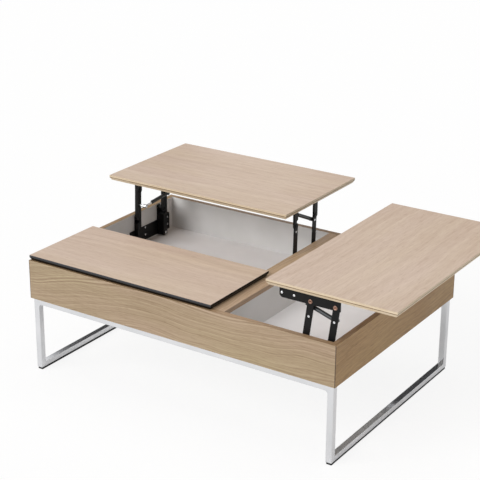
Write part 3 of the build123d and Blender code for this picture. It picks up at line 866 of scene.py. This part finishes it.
@dataclass
class Box:
    """Veneered box: mitred walls, lacquered inside, with a capped divider.

    Attributes:
        front: Early, blush and late wood of the front, back and left walls.
        side: The same of the right wall, darker and warmer than the front: painted shade for its shaded
            face.
        rim: The same of the walls' upper edges.
        cap: The same of the divider's cap.
        side_rings: Width of a growth line on the two side walls, in millimetres.
        side_share: How strongly the lines show there.
        walls: Axis of each wall's grain, and the way that its inside faces.
        boards: Boards of the divider.
    """

    front: Colours = ("#ae9d7c", "#b09982", "#877156")
    side: Colours = ("#b59560", "#b5915c", "#846238")
    rim: Colours = ("#a88d6a", "#a88b6e", "#846847")
    cap: Colours = ("#c4a98a", "#c4a78e", "#9c8061")
    side_rings: float = 9.0
    side_share: float = 1.0
    walls: dict[str, tuple[Axis, Vector]] = field(default_factory=lambda: {
        "front_panel": (Axis.X, Vector((0, 1, 0))), "back_panel": (Axis.X, Vector((0, -1, 0))),
        "left_panel": (Axis.Y, Vector((1, 0, 0))), "right_panel": (Axis.Y, Vector((-1, 0, 0)))})
    boards: tuple[str, ...] = ("divider_left_board", "divider_right_board")

    def dress(self) -> None:
        """Finish every board of the box."""
        for number, (name, (grain, inward)) in enumerate(self.walls.items()):
            self.wall(name, grain, inward, float(number))
        dress("divider_cap", [OakVeneer("oak_rim_divider_cap", *self.cap, Axis.Y).build()])
        for name in self.boards:
            dress(name, [Finish.GREY.material()])
        # The floor's upper face takes the same lacquer painted paler, as painted light; its under face is
        # stained board.
        dress("bottom_panel", [Finish.PALE_GREY.material(), Finish.STAINED.material()],
              lambda way: 1 if way.z < -SQUARE_ON else 0)
        dress("front_top_cleats", [Finish.BEECH.material()])

    def wall(self, name: str, grain: Axis, inward: Vector, start: float) -> None:
        """Finish one wall: veneer outside, rim above, lacquer inside.

        Args:
            name: Node of the wall.
            grain: Axis of its grain.
            inward: Way that its inside faces.
            start: Offset of its figure.
        """
        low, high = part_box(name)
        corner = ((low + high)[grain.value] / 2, (high - low)[grain.value] / 2)
        # The right wall takes the darker, warmer side colours: painted shade for the face that the lamps
        # leave in shade.
        colours = self.side if name == "right_panel" else self.front
        outside = OakVeneer(f"oak_veneer_{name}", *colours, grain, start=start, corner=corner)
        if grain is Axis.Y:
            outside = replace(outside, rings=self.side_rings, ring_share=self.side_share)
        rim = OakVeneer(f"oak_rim_{name}", *self.rim, grain, start=start)
        dress(name, [outside.build(), rim.build(), Finish.GREY.material()],
              lambda way: 1 if way.z > SQUARE_ON else 2 if way.dot(inward) > SQUARE_ON else 0)


@dataclass
class Tops:
    """Three veneered tops with an undercut edge.

    Attributes:
        colours: Early, blush and late wood.
        rings: Usual width of a growth line, in millimetres.
        climb: Slope of the lines across a top.
        sway: How many lines a wave moves them by.
        shares: How strongly the growth lines, the fibres and the parts of a top show.
        fibre: Width and length of a fibre, in millimetres, drawn about ten times too coarse to show.
        first_start: Offset of the first top's figure; each next one adds one to it.
        lip: Height of the upright part of the edge, in millimetres.
        grain: Axis of each top's grain.
    """

    colours: Colours = ("#d6c3ad", "#d6c2b2", "#b59b86")
    rings: float = 22.0
    climb: float = 0.02
    sway: float = 7.0
    shares: Triple = (0.5, 0.6, 0.5)
    fibre: Pair = (5.0, 80.0)
    first_start: float = 13.0
    lip: float = 8.0
    grain: dict[str, Axis] = field(default_factory=lambda: {
        "front_top": Axis.X, "rear_top": Axis.X, "right_top": Axis.Y})

    def dress(self) -> None:
        """Finish each top: veneer above and below, and its edge."""
        for number, (name, grain) in enumerate(self.grain.items()):
            veneer = OakVeneer(f"oak_veneer_{name}", *self.colours, grain, self.rings, self.climb,
                               self.sway, *self.shares, self.first_start + number, fibre=self.fibre)
            dress(name, [veneer.build(), *self.edges(name)],
                  lambda way: 0 if abs(way.z) > SQUARE_ON else 2 if way.y < -SQUARE_ON else 1)

    def edges(self, name: str) -> tuple[Material, Material]:
        """Make the edges of one top: maple on the tops that lift, black lacquer with a grey strip painted
        as a highlight on the fixed one.

        Args:
            name: Node of the top.

        Returns:
            Materials of the edge all round, and of its upright part at the front, which carries the painted
            highlight.
        """
        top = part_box(name)[1].z
        if name == "front_top":
            # The fixed top's upright front edge gets a grey strip painted as a highlight.
            return Finish.BLACK_EDGE.material(), PaintedHighlightEdge("anodised_strip_in_black_lacquer", top).build()
        maple = MapleLipping(f"maple_lipping_{name}", top - self.lip * MM).build()
        return maple, maple


@dataclass
class Base:
    """Chrome base of two bent frames, two floor runners and their rubber strips.

    Attributes:
        finishes: Finish of each piece.
    """

    finishes: dict[str, Finish] = field(default_factory=lambda: {
        "front_leg_frame": Finish.CHROME, "rear_leg_frame": Finish.CHROME, "left_runner": Finish.CHROME,
        "right_runner": Finish.CHROME, "left_foot_strip": Finish.RUBBER, "right_foot_strip": Finish.RUBBER,
        "frame_bolts": Finish.ZINC})

    def dress(self) -> None:
        """Finish the bars, strips and bolts."""
        for name, finish in self.finishes.items():
            dress(name, [finish.material()])


@dataclass
class Lifts:
    """Black steel lifts with bright rods, springs and rivets, and copper pivots.

    Attributes:
        unit_parts: Finish of the pieces that each of the four units has.
        lift_parts: Finish of the pieces that each of the two lifts has.
        shared_parts: Finish of the pieces that both lifts, or the rear one alone, have in one node.
        units: The four units.
        across: Axis across each lift.
        end_height: Height within which a screw's points are at its end, in metres.
    """

    unit_parts: dict[str, Finish] = field(default_factory=lambda: {
        "base_plate": Finish.BLACK, "bracket": Finish.BLACK, "buffer_spring": Finish.ZINC})
    lift_parts: dict[str, Finish] = field(default_factory=lambda: {
        "inner_arms": Finish.BLACK, "outer_arms": Finish.BLACK, "assist_sleeve": Finish.ENAMEL,
        "damper_sleeve": Finish.ENAMEL, "inner_arm_rivets": Finish.ZINC, "outer_arm_rivets": Finish.ZINC,
        "assist_rod": Finish.ZINC, "damper_rod": Finish.ZINC})
    shared_parts: dict[str, Finish] = field(default_factory=lambda: {
        "base_pins": Finish.BLACK, "stop_studs": Finish.ZINC, "rear_top_pivots": Finish.BLACK})
    units: tuple[str, ...] = ("rear_left", "rear_right", "right_front", "right_back")
    across: dict[str, Axis] = field(default_factory=lambda: {"rear": Axis.X, "right": Axis.Y})
    end_height: float = 0.01 * MM

    def dress(self) -> None:
        """Finish every piece of the lifts and model their fasteners."""
        for unit in self.units:
            for part, finish in self.unit_parts.items():
                dress(f"{unit}_{part}", [finish.material()])
        for name, finish in self.shared_parts.items():
            dress(name, [finish.material()])
        for lift, axis in self.across.items():
            for part, finish in self.lift_parts.items():
                dress(f"{lift}_{part}", [finish.material()])
            self.fasten_bracket(lift, axis)
        self.fasten_pivots()
        self.fasten_plates()

    def fasten_bracket(self, lift: str, axis: Axis) -> None:
        """Model the screws and rivets of a lift's brackets.

        Args:
            lift: Lift that they belong to.
            axis: Axis across the lift.
        """
        body = f"{lift}_top_body"
        node = f"{lift}_bracket_screws"
        screws = [Seat.read(points, Axis.Z, -1.0) for points in solids(node)]
        fasten(f"{lift}_flange_screws", node, body, PanScrew(), screws)
        node = f"{lift}_bracket_rivets"
        middle = sum(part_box(f"{lift}_top"), Vector())[axis.value] / 2
        rivets = [Seat.read(points, axis, math.copysign(1.0, points[0][axis.value] - middle))
                  for points in solids(node)]
        fasten(f"{lift}_bright_rivets", node, body, DomeRivet(), rivets)

    def fasten_pivots(self) -> None:
        """Model the copper rivets that the right top turns on, rolled over on the wall side."""
        middle = sum(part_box("right_top"), Vector()).y / 2
        seats = [Seat.read(points, Axis.Y, math.copysign(1.0, points[0].y - middle))
                 for points in solids("right_top_pivots")]
        fasten("right_eyelet_rivets", "right_top_pivots", "right_top_body", EyeletRivet(), seats,
               Finish.COPPER)

    def fasten_plates(self) -> None:
        """Model the screws that hold the base plates to the walls, facing into the box."""
        seats = []
        for points in solids("base_screws"):
            extent = [max(p[i] for p in points) - min(p[i] for p in points) for i in range(2)]
            axis = Axis.X if extent[0] < extent[1] else Axis.Y
            seats.append(Seat.read(points, axis, self.inward(points, axis)))
        fasten("plate_screws", "base_screws", "table", PanScrew(), seats)

    def inward(self, points: list[Vector], axis: Axis) -> float:
        """Find the way into the bay, which the wider end of a screw faces.

        Args:
            points: Points of the screw.
            axis: Axis that it points along.

        Returns:
            One if its head faces up that axis, minus one if down.
        """
        levels = [point[axis.value] for point in points]
        other = Axis.Y if axis is Axis.X else Axis.X
        widths = []
        for end in (max(levels), min(levels)):
            rim = [point[other.value] for point in points if abs(point[axis.value] - end) < self.end_height]
            widths.append(max(rim) - min(rim))
        return 1.0 if widths[0] > widths[1] else -1.0


@dataclass
class Studio:
    """Pale floor, soft light and the camera.

    Attributes:
        eye: Camera place in the table's frame, in metres.
        turn: Camera heading from +Y towards -X, in radians.
        tilt: Camera tilt below level, in radians.
        focus: Focal length in pixels of the frame.
        shift: Offset of the picture's middle, in pixels.
        picture: Width of the frame in pixels.
        sensor: Width of the camera's sensor, in millimetres.
        floor_size: Side of the floor, in metres.
        floor_colour: Colour of the floor.
        floor_glow: Share of plain white that the eye sees on the floor; the rest is its lit colour.
        mirror_glow: The same share for metal and glass, which mirror more of the table's shadow.
        sky: Strength of the even light from all round.
        dark_cards: Low cards behind the table that polished metal mirrors: low X, high X, Y, low Z and
            high Z, in metres.
        card_colour: Colour of the cards.
        lamps: Way to each lamp, the angle that it fills in degrees, and its strength.
    """

    eye: Triple = (2.20325, -3.55699, 2.09282)
    turn: float = 0.5978
    tilt: float = 0.3581
    focus: float = 1362.1
    shift: Pair = (-20.8, -14.8)
    picture: int = 480
    sensor: float = 36.0
    floor_size: float = 60.0
    floor_colour: str = "#f8f7f6"
    floor_glow: float = 0.86
    mirror_glow: float = 0.25
    sky: float = 0.34
    dark_cards: dict[str, tuple[float, float, float, float, float]] = field(default_factory=lambda: {
        "left_dark_card": (-2.4, -1.2, 1.3, 0.45, 1.1),
        "right_dark_card": (-0.6, 0.4, 1.3, 0.42, 0.92)})
    card_colour: str = "#2c2c2d"
    lamps: dict[str, tuple[Triple, float, float]] = field(default_factory=lambda: {
        "front_soft_light": ((-0.42, -0.76, 0.50), 40.0, 2.3),
        "top_soft_light": ((0.1, 0.15, 0.98), 60.0, 0.95)})

    def build(self) -> None:
        """Make the floor, the world, the cards, the lamps and the camera."""
        self.floor()
        self.world()
        for name, corners in self.dark_cards.items():
            self.card(name, *corners)
        for name, (towards, spread, strength) in self.lamps.items():
            self.lamp(name, towards, spread, strength)
        self.camera()

    def seen(self, tree: Tree, straight: float, mirrored: float) -> Socket:
        """Share of white that a ray finds.

        Args:
            tree: Tree of the floor or the world.
            straight: Share for the eye.
            mirrored: Share for metal and glass.

        Returns:
            The share, which is zero for the rays that light things.
        """
        path = add(tree, "ShaderNodeLightPath").node
        other = add(tree, "ShaderNodeMath", {0: path.outputs["Is Glossy Ray"],
                                             1: path.outputs["Is Transmission Ray"]}, operation="MAXIMUM")
        shares = [add(tree, "ShaderNodeMath", {0: ray, 1: share}, operation="MULTIPLY")
                  for ray, share in ((path.outputs["Is Camera Ray"], straight), (other, mirrored))]
        return add(tree, "ShaderNodeMath", {0: shares[0], 1: shares[1]}, operation="MAXIMUM")

    def floor(self) -> None:
        """Lay a floor that looks white and keeps a soft shadow."""
        mesh = bmesh.new()
        bmesh.ops.create_grid(mesh, x_segments=1, y_segments=1, size=self.floor_size / 2)
        # Matt paint: no gloss, so nothing of the table is mirrored in it.
        material, tree, shader = new_material("matt_white_floor")
        wire(tree, shader, {"Base Color": srgb(self.floor_colour), "Roughness": MATT})
        share = self.seen(tree, self.floor_glow, self.mirror_glow)
        glow = add(tree, "ShaderNodeEmission", {"Color": WHITE, "Strength": 1.0})
        both = add(tree, "ShaderNodeMixShader", {0: share, 1: shader.outputs[0], 2: glow})
        wire(tree, tree.nodes["Material Output"], {"Surface": both})
        to_object("floor", mesh, material)

    def card(self, name: str, left: float, right: float, back: float, low: float, high: float) -> None:
        """Stand a dark card where only polished metal shows it, which draws the metal's edges.

        Args:
            name: Card name.
            left: Its low X, in metres.
            right: Its high X.
            back: Its Y.
            low: Its low Z.
            high: Its high Z.
        """
        mesh = bmesh.new()
        corners = ((left, low), (right, low), (right, high), (left, high))
        mesh.faces.new([mesh.verts.new((x, back, z)) for x, z in corners])
        # Matt card: one dark tone from every side.
        material, tree, shader = new_material(f"matt_card_{name}")
        wire(tree, shader, {"Base Color": srgb(self.card_colour), "Roughness": MATT})
        card = to_object(name, mesh, material)
        for rays in ("camera", "diffuse", "shadow", "transmission"):
            setattr(card, f"visible_{rays}", False)

    def world(self) -> None:
        """Light the scene evenly, with a white sky where it is seen."""
        world = bpy.data.worlds.new("studio")
        world.use_nodes = True
        tree = world.node_tree
        gain = add(tree, "ShaderNodeMapRange", {
            "Value": self.seen(tree, 1.0, 1.0), "To Min": self.sky, "To Max": 1.0})
        wire(tree, tree.nodes["Background"], {"Color": WHITE, "Strength": gain})
        bpy.context.scene.world = world

    def lamp(self, name: str, towards: Triple, spread: float, strength: float) -> None:
        """Light the table evenly from one side, as a large and distant soft box does.

        Args:
            name: Lamp name.
            towards: Way to the lamp.
            spread: Angle that the lamp fills, in degrees.
            strength: Light that falls square on, in watts per square metre.
        """
        data = bpy.data.lights.new(name, "SUN")
        data.angle = math.radians(spread)
        data.energy = strength
        lamp = bpy.data.objects.new(name, data)
        lamp.rotation_euler = Vector(towards).to_track_quat("Z", "Y").to_euler()
        bpy.context.scene.collection.objects.link(lamp)

    def camera(self) -> None:
        """Stand the camera at the photograph's viewing angle."""
        data = bpy.data.cameras.new("camera")
        data.sensor_width = self.sensor
        data.lens = self.focus / self.picture * self.sensor
        data.shift_x = -self.shift[0] / self.picture
        data.shift_y = self.shift[1] / self.picture
        camera = bpy.data.objects.new("camera", data)
        camera.location = self.eye
        camera.rotation_euler = (math.pi / 2 - self.tilt, 0.0, self.turn)
        bpy.context.scene.collection.objects.link(camera)
        bpy.context.scene.camera = camera
        bpy.context.scene.view_settings.view_transform = "Standard"


def main() -> None:
    """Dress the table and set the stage."""
    logging.basicConfig(level=logging.INFO)
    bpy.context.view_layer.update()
    for assembly in (Box(), Tops(), Base(), Lifts()):
        assembly.dress()
    Studio().build()


if __name__ == "__main__":
    main()
